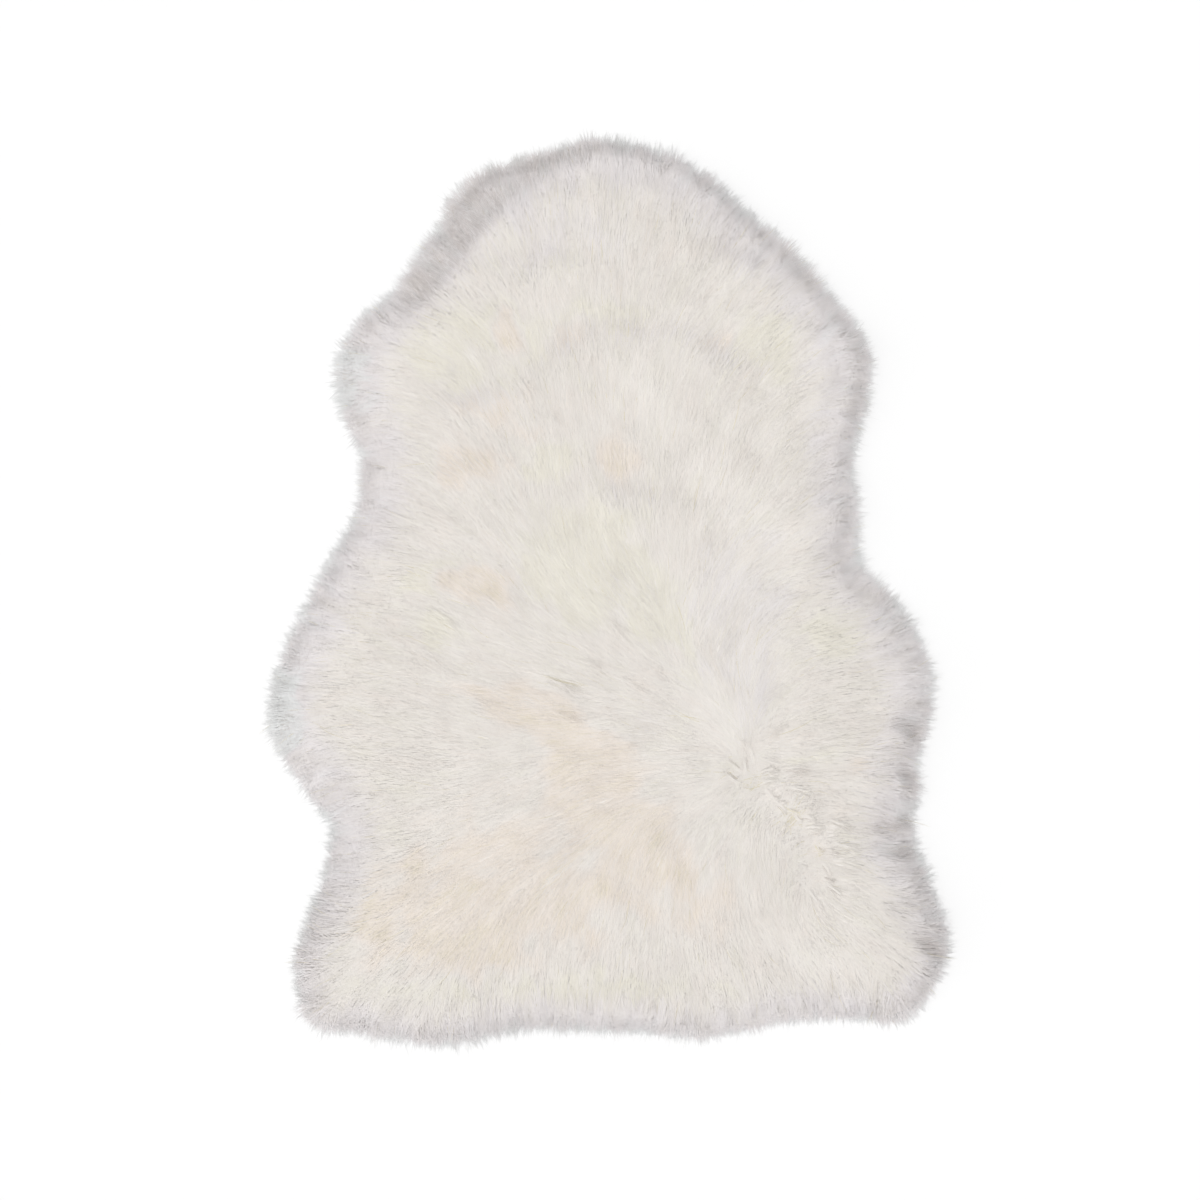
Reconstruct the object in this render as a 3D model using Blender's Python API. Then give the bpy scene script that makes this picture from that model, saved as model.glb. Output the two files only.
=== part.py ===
"""A natural sheepskin rug, wool side up, lying flat on the floor.

One pelt is one solid: a lumpy slab of fleece over a flat underside, with wool locks fused to
its side wall by their roots. Run with: blender --background --python part.py

Axes: the neck points to +Y, the rump to -Y, and the underside lies on Z = 0.
"""

import math
from collections import namedtuple

import bmesh
import bpy
import numpy as np
from mathutils import Matrix, Vector, geometry, noise

MM = 0.001

# The pelt over its wool
CROWN_HEIGHT = 56 * MM  # top of the fleece in the middle of the back
WALL_HEIGHT = 27 * MM  # top of the side wall, where the fleece turns over to the back
WALL_MIDDLE = 13 * MM  # where the lower locks end and the upper ones start
WALL_LEAN = 5 * MM  # how far the top of the wall stands in from its foot
SHOULDER = 50 * MM  # distance in which the back rises most of the way to its crown

# Locks of wool round the rim
LOCKS_PER_TIER = 144
LOCK_REACH = 27 * MM  # from the side wall to the edge of the wool
SHORTEST_LOCK = 0.90  # share of that reach
LONGEST_LOCK = 1.06
LEAN_SPREAD = math.radians(10)  # how far a lock may turn to one side
CORNER_SMOOTHING = 4  # neighbours on each side that a lock's direction is averaged over
SEED = 11

# The fine unevenness of the back
TUFT_SIZE = 40 * MM
TUFT_RISE = 6 * MM
TUFT_STRETCH = 1.5  # tufts are this much longer from neck to rump than across
BACK_POINT_SPACING = 16 * MM

WOOL_COLOUR = (0.80, 0.76, 0.70, 1.0)
WOOL_ROUGHNESS = 0.9

# The edge of the wool, clockwise from the neck, in the pelt's plane
RimPoint = namedtuple("RimPoint", "place x_mm y_mm")
RIM = (
    RimPoint("neck, middle", -10, 453),
    RimPoint("neck, right", 56, 439),
    RimPoint("neck, right corner", 114, 403),
    RimPoint("right shoulder, top", 198, 328),
    RimPoint("right foreleg, top", 251, 263),
    RimPoint("right foreleg, tip", 264, 214),
    RimPoint("right foreleg, foot", 244, 132),
    RimPoint("right waist", 254, 74),
    RimPoint("right flank", 250, 36),
    RimPoint("right thigh, top", 288, -10),
    RimPoint("right thigh", 327, -92),
    RimPoint("right thigh, foot", 313, -182),
    RimPoint("right hock hollow", 308, -252),
    RimPoint("right hind leg, tip", 341, -359),
    RimPoint("right hind leg, corner", 308, -424),
    RimPoint("rump, right corner", 262, -437),
    RimPoint("rump, right hollow", 215, -428),
    RimPoint("rump, right lobe", 98, -447),
    RimPoint("rump, middle", -60, -441),
    RimPoint("rump, left lobe", -168, -455),
    RimPoint("left hind leg, corner", -298, -436),
    RimPoint("left hind leg, side", -309, -410),
    RimPoint("left hind leg, tip", -319, -382),
    RimPoint("left hind leg, top", -294, -312),
    RimPoint("left hock hollow", -279, -240),
    RimPoint("left thigh, foot", -319, -178),
    RimPoint("left thigh", -343, -122),
    RimPoint("left flank", -295, 8),
    RimPoint("left waist, foot", -257, 66),
    RimPoint("left waist, top", -247, 138),
    RimPoint("left foreleg, tip", -276, 200),
    RimPoint("left foreleg, top", -250, 271),
    RimPoint("left shoulder hollow", -216, 300),
    RimPoint("left shoulder", -191, 334),
    RimPoint("neck hollow, left", -170, 368),
    RimPoint("neck, left corner", -150, 403),
    RimPoint("neck, left", -70, 437),
)

# Broad swells (rise over 0) and hollows (rise under 0) of the back
Swell = namedtuple("Swell", "place x_mm y_mm length_mm width_mm heading_deg rise_mm")
SWELLS = (
    Swell("neck roll", -10, 300, 170, 60, 0, 5),
    Swell("fold behind the neck", -40, 236, 150, 26, 8, -4),
    Swell("shoulder roll", 20, 175, 190, 45, -4, 5),
    Swell("fold across the back", 20, 104, 140, 24, 0, -5),
    Swell("saddle", -20, 30, 180, 60, 6, 4),
    Swell("left thigh swell", -200, -130, 90, 80, 30, 5),
    Swell("right thigh swell", 225, -70, 75, 90, -20, 5),
    Swell("middle of the loin", -30, -170, 120, 90, 10, 4),
    Swell("left rump swell", -170, -320, 110, 70, 0, 5),
    Swell("right rump swell", 60, -330, 110, 80, 0, 5),
    Swell("parting, upper part", 150, -190, 50, 15, -62, -11),
    Swell("parting, lower part", 200, -255, 60, 16, -70, -13),
    Swell("right hind leg swell", 270, -330, 60, 60, 0, 4),
)

# Cross-sections of a lock beyond its root
LockSection = namedtuple("LockSection", "reach_share width_share low_mm high_mm")
LOWER_LOCK = (
    LockSection(0.62, 0.76, 0.0, 9.0),
    LockSection(1.00, 0.22, 0.0, 2.6),
)
UPPER_LOCK = (
    LockSection(0.40, 0.84, 14.0, 26.0),
    LockSection(0.80, 0.58, 11.5, 20.0),
    LockSection(1.03, 0.18, 8.0, 11.5),
)


def clear_scene():
    for obj in list(bpy.data.objects):
        bpy.data.objects.remove(obj, do_unlink=True)


def smooth_closed_curve(corners, count):
    """Points at even spacing on a smooth closed curve through the corners."""
    fine = []
    steps = 24
    total = len(corners)
    for index in range(total):
        before, start, end, after = (corners[(index + shift) % total] for shift in (-1, 0, 1, 2))
        for step in range(steps):
            t = step / steps
            fine.append(
                0.5 * (2 * start + (end - before) * t)
                + 0.5 * (2 * before - 5 * start + 4 * end - after) * t**2
                + 0.5 * (3 * start - before - 3 * end + after) * t**3
            )
    fine = np.array(fine + [fine[0]])
    travelled = np.concatenate([[0.0], np.cumsum(np.linalg.norm(np.diff(fine, axis=0), axis=1))])
    wanted = np.linspace(0.0, travelled[-1], count, endpoint=False)
    return np.stack([np.interp(wanted, travelled, fine[:, axis]) for axis in (0, 1)], axis=1)


def outward_directions(outline):
    """Unit vectors that point out of a clockwise outline, averaged over the neighbours."""
    along = np.roll(outline, -1, axis=0) - np.roll(outline, 1, axis=0)
    outward = np.stack([-along[:, 1], along[:, 0]], axis=1)
    averaged = sum(
        np.roll(outward, shift, axis=0) for shift in range(-CORNER_SMOOTHING, CORNER_SMOOTHING + 1)
    )
    return averaged / np.linalg.norm(averaged, axis=1, keepdims=True)


def swell_height(x, y):
    """Rise of the broad swells and folds at a point of the back."""
    height = 0.0
    for swell in SWELLS:
        heading = math.radians(swell.heading_deg)
        dx = x - swell.x_mm * MM
        dy = y - swell.y_mm * MM
        along = (dx * math.cos(heading) + dy * math.sin(heading)) / (swell.length_mm * MM)
        across = (dy * math.cos(heading) - dx * math.sin(heading)) / (swell.width_mm * MM)
        height += swell.rise_mm * MM * math.exp(-(along**2 + across**2))
    return height


def back_height(place, distance_in):
    """Height of the fleece at a point that lies this far in from the side wall."""
    rise = 1.0 - math.exp(-distance_in / SHOULDER)
    tuft = noise.noise(Vector((place.x, place.y / TUFT_STRETCH, 0.0)) / TUFT_SIZE)
    uneven = swell_height(place.x, place.y) + TUFT_RISE * tuft
    return WALL_HEIGHT + (CROWN_HEIGHT - WALL_HEIGHT + uneven) * rise


def wall_rings(foot, outward):
    """The three rings of the side wall: foot, middle and top."""
    rings = []
    for height in (0.0, WALL_MIDDLE, WALL_HEIGHT):
        inset = WALL_LEAN * (height / WALL_HEIGHT) ** 2
        ring = foot - outward * inset
        rings.append([Vector((x, y, height)) for x, y in ring])
    return rings


def back_points(edge):
    """Evenly spread points inside the edge, each with its distance in from it."""
    across = BACK_POINT_SPACING
    down = across * math.sqrt(3) / 2
    rows = int(max(abs(point.y) for point in edge) / down)
    columns = int(max(abs(point.x) for point in edge) / across)
    places = []
    for row in range(-rows, rows + 1):
        for column in range(-columns, columns + 1):
            place = Vector(((column + row % 2 / 2) * across, row * down))
            distance_in = min((place - point).length for point in edge)
            if distance_in > across / 2 and inside(place, edge):
                places.append((place, distance_in))
    return places


def inside(place, edge):
    """Whether a point lies inside a closed outline, by the crossings of a line to its right."""
    crossings = 0
    for start, end in zip(edge, edge[1:] + edge[:1]):
        if (start.y > place.y) != (end.y > place.y):
            share = (place.y - start.y) / (end.y - start.y)
            crossings += start.x + share * (end.x - start.x) > place.x
    return crossings % 2 == 1


def loft(bm, rings):
    """Joins rings of equal count with quads, and gives the vertices and the faces ring by ring."""
    vertices = [[bm.verts.new(point) for point in ring] for ring in rings]
    bands = []
    for lower, upper in zip(vertices, vertices[1:]):
        following = range(1, len(lower) + 1)
        bands.append(
            [
                bm.faces.new((lower[i], upper[i], upper[j % len(lower)], lower[j % len(lower)]))
                for i, j in enumerate(following)
            ]
        )
    return vertices, bands


def cover_back(bm, ring):
    """Closes the top of the wall with the lumpy back of the fleece."""
    edge = [vertex.co.xy for vertex in ring]
    points = back_points(edge)
    flat = edge + [place for place, distance_in in points]
    triangles, sources = geometry.delaunay_2d_cdt(flat, [], [range(len(edge))], 1, MM / 1000)[2:4]
    back = [bm.verts.new((*place, back_height(place, distance_in))) for place, distance_in in points]
    vertices = ring + back
    for triangle in triangles:
        bm.faces.new([vertices[sources[corner][0]] for corner in triangle])


def grow_lock(bm, root, sections, facing, lean, reach):
    """Extrudes one quad of the side wall, section by section, into a tapering lock that bends."""
    face = root
    left, right = (root.verts[corner].co.xy for corner in (0, 3))
    middle = (left + right) / 2
    half_root = (right - left) / 2
    for section in sections:
        face = bmesh.ops.extrude_discrete_faces(bm, faces=[face])["faces"][0]
        heading = facing.copy()
        heading.rotate(Matrix.Rotation(lean * section.reach_share, 2))
        out = middle + heading * (reach * section.reach_share)
        half = half_root * section.width_share
        low = section.low_mm * MM
        high = section.high_mm * MM
        corners = ((out - half, low), (out - half, high), (out + half, high), (out + half, low))
        for vertex, (place, height) in zip(face.verts, corners):
            vertex.co = (place.x, place.y, height)


def grow_tier(bm, band, outward, sections, rng):
    """A lock on every quad of one band of the side wall."""
    for index, root in enumerate(band):
        following = (index + 1) % len(band)
        facing = Vector(outward[index] + outward[following]).normalized()
        lean = rng.uniform(-LEAN_SPREAD, LEAN_SPREAD)
        reach = LOCK_REACH * rng.uniform(SHORTEST_LOCK, LONGEST_LOCK)
        grow_lock(bm, root, sections, facing, lean, reach)


def centre_on_box(bm):
    """Moves the pelt so that the middle of its box stands over the origin."""
    for axis in (0, 1):
        places = [vertex.co[axis] for vertex in bm.verts]
        shift = (min(places) + max(places)) / 2
        for vertex in bm.verts:
            vertex.co[axis] -= shift


def wool_material():
    material = bpy.data.materials.new("wool")
    material.use_nodes = True
    shader = material.node_tree.nodes["Principled BSDF"]
    shader.inputs["Base Color"].default_value = WOOL_COLOUR
    shader.inputs["Roughness"].default_value = WOOL_ROUGHNESS
    shader.inputs["Metallic"].default_value = 0.0
    return material


def build_sheepskin(collection):
    rng = np.random.default_rng(SEED)
    corners = [np.array((point.x_mm, point.y_mm)) * MM for point in RIM]
    edge = smooth_closed_curve(corners, LOCKS_PER_TIER)
    outward = outward_directions(edge)
    foot = edge - outward * LOCK_REACH

    bm = bmesh.new()
    vertices, bands = loft(bm, wall_rings(foot, outward))
    bm.faces.new(vertices[0])
    cover_back(bm, vertices[-1])
    grow_tier(bm, bands[0], outward, LOWER_LOCK, rng)
    grow_tier(bm, bands[1], outward, UPPER_LOCK, rng)
    bmesh.ops.recalc_face_normals(bm, faces=bm.faces)
    centre_on_box(bm)

    mesh = bpy.data.meshes.new("sheepskin")
    bm.to_mesh(mesh)
    bm.free()
    mesh.materials.append(wool_material())
    sheepskin = bpy.data.objects.new("sheepskin", mesh)
    collection.objects.link(sheepskin)
    return sheepskin


def main():
    clear_scene()
    collection = bpy.data.collections.new("sheepskin_rug")
    bpy.context.scene.collection.children.link(collection)
    build_sheepskin(collection)


main()
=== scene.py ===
"""Looks of the sheepskin rug: hide, under-wool and combed long wool, seen from straight above."""

import math
from collections import namedtuple

import bpy
import numpy as np
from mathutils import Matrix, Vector
from mathutils.bvhtree import BVHTree
from mathutils.kdtree import KDTree


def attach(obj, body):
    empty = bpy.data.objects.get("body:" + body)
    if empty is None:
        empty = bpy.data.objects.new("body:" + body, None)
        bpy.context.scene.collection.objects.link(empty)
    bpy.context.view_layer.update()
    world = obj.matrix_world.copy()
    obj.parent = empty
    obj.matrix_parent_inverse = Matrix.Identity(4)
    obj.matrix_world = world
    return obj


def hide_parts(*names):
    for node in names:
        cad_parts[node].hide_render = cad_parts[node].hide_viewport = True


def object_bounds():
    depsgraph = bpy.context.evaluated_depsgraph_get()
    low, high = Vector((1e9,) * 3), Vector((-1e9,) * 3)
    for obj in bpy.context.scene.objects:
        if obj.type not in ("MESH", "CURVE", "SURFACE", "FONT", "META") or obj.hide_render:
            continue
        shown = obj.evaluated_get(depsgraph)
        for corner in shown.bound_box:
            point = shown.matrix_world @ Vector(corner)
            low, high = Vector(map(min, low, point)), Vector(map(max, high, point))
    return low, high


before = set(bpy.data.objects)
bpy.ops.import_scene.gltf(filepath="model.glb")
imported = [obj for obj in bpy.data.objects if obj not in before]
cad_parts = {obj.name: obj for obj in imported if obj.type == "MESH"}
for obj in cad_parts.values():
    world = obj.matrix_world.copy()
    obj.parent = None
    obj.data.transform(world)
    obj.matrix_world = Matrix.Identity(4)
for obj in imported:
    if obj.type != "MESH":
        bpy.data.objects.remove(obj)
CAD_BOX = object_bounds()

MM = 0.001
NODE = "sheepskin"

# The photograph: 1 pixel is 1 mm in the plane of the fleece
PICTURE_WIDTH = 1.2
PICTURE_CENTRE = (-8.5 * MM, -10 * MM)
FLEECE_PLANE = 30 * MM
LENS_MM = 85

# Maps of the fleece, read from the CAD solid
CELL = 3 * MM
MARGIN = 42 * MM
LOCK_BLUR = 7 * MM  # hides the CAD's single locks
TUFT_BLUR = 6 * MM  # and the facets of its tufts
TOP_BLUR = 4 * MM
TIP_OFFSET = 11 * MM  # from the half-covered line of the CAD's locks to their tips
BARE_COVER = 0.02  # cover under this is past the solid's edge, where its height is unknown
BARE_HEIGHT = 8 * MM

# The fleece from its outline inward: a thin skirt, a wall, and a round shoulder
SKIRT_HEIGHT = 7 * MM
WALL_RISE = 20 * MM
WALL_START = 3 * MM
WALL_END = 29 * MM
SHOULDER_RISE = 28 * MM
SHOULDER_START = 6 * MM
SHOULDER_END = 72 * MM
SHOULDER_ROUNDNESS = 1.9
FULL_STEEPNESS = 1.2  # where its wall is less steep than this, the back rises by the rest
BACK_START = 45 * MM
BACK_END = 125 * MM
DROOP = 0.5  # fall of the tips past the outline, as a share of how far out they are
LEAST_TOP = 3 * MM

# Wool
SHELL_DEPTH = 1.05 * MM  # from the top of the fleece to the dense wool
SHELL_INSET = 11 * MM
SHELL_WALL = 14 * MM
SHELL_FOOT = 2 * MM
SHELL_RINGS = 74
HIDE_INSET = 31 * MM  # the wool overhangs the skin by this
HIDE_THICKNESS = 1.6 * MM
HIDE_CLEARANCE = 0.3 * MM  # above the floor
ROOT_DEPTH = 1.5 * MM  # of a fibre's root under the top of the fleece
FIBRE_TRAVEL = 44 * MM  # its length as seen from above
LOCK_SPACING = 13 * MM
RIM_LOCK_SPACING = 11 * MM
BACK_INSET = 64 * MM  # the back's fibres are rooted further in than this
EDGE_INSET = 26 * MM  # and those that droop over the edge, further in than this
TIP_SPREAD = (-8 * MM, 1 * MM, 10 * MM)  # where fibres end at the rim: furthest out, most, furthest in
RIM_ROOTS = (7 * MM, 34 * MM)  # the rim's own are rooted between these distances in from it
MIDDLE_INSET = 1.0  # further in than any place
LEAST_FIBRE = 2 * MM  # fibres stay this high above the floor
RIM_FOOT = 1.2 * MM  # but for those that fill the rim's side
BACK_FIBRES = 82500
EDGE_FIBRES = 28000
RIM_FIBRES = 22000
TANGLED_FIBRES = 1500
RUFFLED_BEHIND_MM = 16  # how far behind its place a fibre may be rooted where the wool is ruffled
OPENED_BEHIND_MM = 30  # and where the combing spreads apart
STRAY_SHARE = 0.06  # of the fibres, those that leave their lock
WISP_SHARE = 0.018  # of the rim's, those that reach past the rest
BACK_POINTS = 4  # along each fibre
EDGE_POINTS = 5
HOOK_POINTS = 7
SPOKES = 360
FARTHEST = 0.6  # more than from the pelt's middle to any of its tips
FLEECE_SHADING = 0.85  # how much of a fibre's shading normal is the fleece's own
SHADING_SLOPE = 0.52  # fluffy wool shades as if it sloped less than it does
BACK_SLOPE = 0.04  # and its broad rise over the back hardly at all
EASING_START = 22 * MM  # where that eases in from the rim
EASING_END = 50 * MM
FIRM_EASING = 14 * MM  # and how much later it does so at a firm edge


# ---------------- maps

class Field:
    """Values on an even grid over the rug, read at any points by bilinear interpolation."""

    low = np.array(CAD_BOX[0][:2]) - MARGIN
    high = np.array(CAD_BOX[1][:2]) + MARGIN
    columns, rows = (int(math.ceil(side / CELL)) + 1 for side in (high - low))
    xs = low[0] + CELL * np.arange(columns)
    ys = low[1] + CELL * np.arange(rows)

    def __init__(self, values):
        self.values = values

    def __call__(self, places):
        at = (places - Field.low) / CELL
        at = np.clip(at, 0, np.array([Field.columns - 1.001, Field.rows - 1.001]))
        cell = at.astype(int)
        part = at - cell
        i, j = cell[..., 0], cell[..., 1]
        p, q = part[..., 0], part[..., 1]
        v = self.values
        if v.ndim == 3:
            p, q = p[..., None], q[..., None]
        return (
            v[j, i] * (1 - p) * (1 - q)
            + v[j, i + 1] * p * (1 - q)
            + v[j + 1, i] * (1 - p) * q
            + v[j + 1, i + 1] * p * q
        )


GRID_PLACES = np.stack(np.meshgrid(Field.xs, Field.ys), axis=-1)


def blurred(values, radius):
    """A grid blurred by a Gaussian of this radius in metres."""
    reach = int(3 * radius / CELL) + 1
    offsets = np.arange(-reach, reach + 1)
    weights = np.exp(-0.5 * (offsets * CELL / radius) ** 2)
    weights /= weights.sum()
    for axis in (0, 1):
        padding = [(0, 0)] * values.ndim
        padding[axis] = (reach, reach)
        padded = np.pad(values, padding, mode="edge")
        length = values.shape[axis]
        values = sum(
            weight * np.take(padded, range(shift, shift + length), axis=axis)
            for shift, weight in enumerate(weights)
        )
    return values


def smoothstep(x, low, high):
    """0 up to low, 1 from high, and a smooth rise between them."""
    x = np.clip((x - low) / (high - low), 0.0, 1.0)
    return x * x * (3 - 2 * x)


def turned(vectors, angles):
    """Vectors in the plane, turned anticlockwise by angles in radians."""
    cosine, sine = np.cos(angles), np.sin(angles)
    x, y = vectors[..., 0], vectors[..., 1]
    return np.stack([x * cosine - y * sine, x * sine + y * cosine], axis=-1)


def headings(angles):
    """Unit vectors in the plane on these angles in radians."""
    return np.stack([np.cos(angles), np.sin(angles)], axis=-1)


def sideways(heading):
    """Headings a quarter turn to the left of these."""
    return turned(heading, np.full(heading.shape[:-1], math.pi / 2))


def lengths(vectors):
    return np.linalg.norm(vectors, axis=-1, keepdims=True)


def with_heights(places, heights):
    return np.concatenate([places, heights[..., None]], axis=-1)


def offset_from(row, places):
    """Vectors from the place of a table's row to these places."""
    return places - np.array((row.x_mm, row.y_mm)) * MM


def fading(gap, reach):
    return np.exp(-((gap / reach) ** 2))


def bump(row, reach):
    """1 at a row's place, falling off smoothly all round."""
    return fading(np.linalg.norm(offset_from(row, GRID_PLACES), axis=-1), reach)


def oval_bump(row, places=GRID_PLACES):
    """1 at a row's place, falling off smoothly past its length and width."""
    gap = turned(offset_from(row, places), np.full(places.shape[:-1], -math.radians(row.heading_deg)))
    gap = gap / (np.array((row.length_mm, row.width_mm)) * MM)
    return np.exp(-(gap**2).sum(axis=-1))


def cad_heights():
    """Height of the CAD solid's top at each grid place, and whether the solid is there."""
    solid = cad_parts[NODE]
    tree = BVHTree.FromObject(solid, bpy.context.evaluated_depsgraph_get())
    heights = np.zeros((Field.rows, Field.columns))
    covered = np.zeros((Field.rows, Field.columns))
    down = Vector((0, 0, -1))
    for j, y in enumerate(Field.ys):
        for i, x in enumerate(Field.xs):
            hit = tree.ray_cast(Vector((x, y, 1.0)), down)[0]
            if hit is not None:
                heights[j, i] = hit.z
                covered[j, i] = 1.0
    return heights, covered


def edge_distance(soft):
    """Distance in from the half-covered line, under 0 outside it."""
    level = soft - 0.5
    crossings = []
    for axis in (0, 1):
        here = level[:-1] if axis == 0 else level[:, :-1]
        there = level[1:] if axis == 0 else level[:, 1:]
        start = GRID_PLACES[:-1] if axis == 0 else GRID_PLACES[:, :-1]
        crossed = here * there < 0
        share = here[crossed] / (here[crossed] - there[crossed])
        places = start[crossed]
        places[:, 1 - axis] += share * CELL
        crossings.append(places)
    crossings = np.concatenate(crossings)
    distance = np.empty(level.shape)
    for j in range(level.shape[0]):
        gaps = GRID_PLACES[j][:, None, :] - crossings[None, :, :]
        distance[j] = np.sqrt((gaps**2).sum(axis=-1).min(axis=1))
    return np.where(level > 0, distance, -distance)


def smooth_noise(size, seed):
    """A Field of smooth noise, about -1 to 1, with swells of this size."""
    noise = blurred(np.random.default_rng(seed).normal(size=(Field.rows, Field.columns)), size / 2.2)
    return Field(noise / (noise.std() * 2))


def gradient(field):
    """Slope of a Field along X and Y."""
    along_y, along_x = np.gradient(field.values, CELL)
    return Field(np.stack([along_x, along_y], axis=-1))


# How the fleece's edge differs round the rim: how much further in its wall stands, and how steep it is
Zone = namedtuple("Zone", "place x_mm y_mm setback_mm steepness")
ZONES = [Zone(*row) for row in (
    ("neck, left", -145, 395, 6, 1.6),
    ("left shoulder", -200, 310, 3, 1.9),
    ("left foreleg", -262, 210, 3, 0.5),
    ("left waist", -245, 100, 2, 0.7),
    ("left flank", -300, 0, 2, 0.65),
    ("left thigh", -330, -120, 2, 0.5),
    ("left hock", -285, -240, 0, 0.15),
    ("left hind leg", -310, -380, 0, 0.15),
    ("rump, left", -200, -445, 1, 0.55),
    ("rump, middle", 0, -440, 0, 0.7),
    ("rump, right", 160, -430, 4, 0.3),
    ("right hind leg, corner", 300, -415, 2, 0.8),
    ("right hind leg", 335, -350, 3, 0.8),
    ("right hock", 308, -240, 3, 1.15),
    ("right thigh, foot", 313, -170, 3, 0.6),
    ("right thigh", 325, -80, 2, -0.15),
    ("right thigh, top", 280, 0, 2, -0.05),
    ("right waist", 250, 80, 2, 0.4),
    ("right foreleg", 262, 215, 2, 1.0),
    ("right shoulder", 200, 325, 3, 0.65),
    ("neck, right", 110, 400, 1, 1.6),
    ("neck, middle", 0, 445, 1, 1.9),
)]
ZONE_REACH = 50 * MM


def zone_values():
    """Setback and steepness of the fleece's edge at each grid place."""
    total = np.zeros((*GRID_PLACES.shape[:2], 3))
    for zone in ZONES:
        weight = bump(zone, ZONE_REACH) + 1e-9
        total += weight[..., None] * np.array((zone.setback_mm * MM, zone.steepness, 1.0))
    return total[..., 0] / total[..., 2], total[..., 1] / total[..., 2]


setback, steepness = zone_values()
firmness = Field(np.clip(steepness - 0.3, 0, 1.5))  # 0 at an edge that is as good as flat


def edge_height(distance_in):
    """Greatest height of the fleece this far in from its outline."""
    distance_in = np.where(distance_in > 0, np.maximum(distance_in - setback, 0), distance_in)
    wall = steepness * WALL_RISE * smoothstep(distance_in, WALL_START, WALL_END)
    share = np.clip((distance_in - SHOULDER_START) / (SHOULDER_END - SHOULDER_START), 0, 1)
    shoulder = SHOULDER_RISE * (1 - (1 - share) ** SHOULDER_ROUNDNESS)
    rest = np.maximum(FULL_STEEPNESS - steepness, 0)
    back = rest * WALL_RISE * smoothstep(distance_in, BACK_START, BACK_END)
    droop = DROOP * np.minimum(distance_in, 0)
    return SKIRT_HEIGHT + wall + shoulder + back + droop


# Where the wool's outline draws in between its lobes, and with a depth under 0 where it bulges
Notch = namedtuple("Notch", "place x_mm y_mm reach_mm depth_mm")
NOTCHES = [Notch(*row) for row in (
    ("neck, middle", 38, 440, 28, 8),
    ("neck, right", 90, 420, 16, 2),
    ("neck, right foot", 140, 377, 26, 7),
    ("right shoulder, top", 192, 328, 18, 3),
    ("right shoulder", 222, 296, 34, 4),
    ("right waist, top", 243, 120, 26, 6),
    ("right waist, middle", 247, 82, 20, 3),
    ("right waist", 249, 48, 26, 7),
    ("right waist, foot", 268, 6, 30, 9),
    ("right thigh", 324, -106, 18, 3),
    ("right thigh, foot", 316, -158, 22, 7.5),
    ("right hock", 304, -252, 24, 8),
    ("right hind leg", 322, -300, 22, 4),
    ("right hind leg, tip", 328, -398, 20, -2.5),
    ("right hind leg, corner", 302, -428, 20, -5.5),
    ("rump, right", 215, -434, 26, -4),
    ("rump, right of middle", 105, -449, 36, -5),
    ("rump, middle", -20, -450, 16, 4),
    ("rump, left of middle", -55, -443, 18, -3),
    ("rump, left notch", -103, -444, 18, 3),
    ("rump, left", -200, -452, 44, -4),
    ("left hind leg", -296, -432, 30, -6),
    ("left hock, foot", -288, -290, 24, 4.5),
    ("left hock", -281, -246, 24, 8),
    ("left thigh, foot", -306, -202, 16, -3),
    ("left thigh", -325, -58, 22, 3),
    ("left flank", -306, -20, 28, 4),
    ("left flank, top", -282, 24, 30, 6),
    ("left waist", -252, 84, 28, 6.5),
    ("left waist, top", -248, 140, 18, 2.5),
    ("left foreleg", -272, 236, 20, -4.5),
    ("left shoulder", -212, 302, 28, 6.5),
    ("neck, left notch", -170, 368, 16, 8.5),
    ("neck, left lobe", -128, 421, 20, -4.5),
)]


def notch_depths():
    return sum(notch.depth_mm * MM * bump(notch, notch.reach_mm * MM) for notch in NOTCHES)


raw_height, raw_cover = cad_heights()
cover = blurred(raw_cover, LOCK_BLUR)
inset = Field(blurred(edge_distance(cover), CELL) + TIP_OFFSET - notch_depths())  # from the tips in
solid_height = blurred(raw_height, TUFT_BLUR) / np.maximum(blurred(raw_cover, TUFT_BLUR), 1e-4)
solid_height = np.where(cover > BARE_COVER, solid_height, BARE_HEIGHT)
height = Field(blurred(np.minimum(solid_height, edge_height(inset.values)), TOP_BLUR))
outward = gradient(Field(-inset.values))


# ---------------- combing

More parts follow.
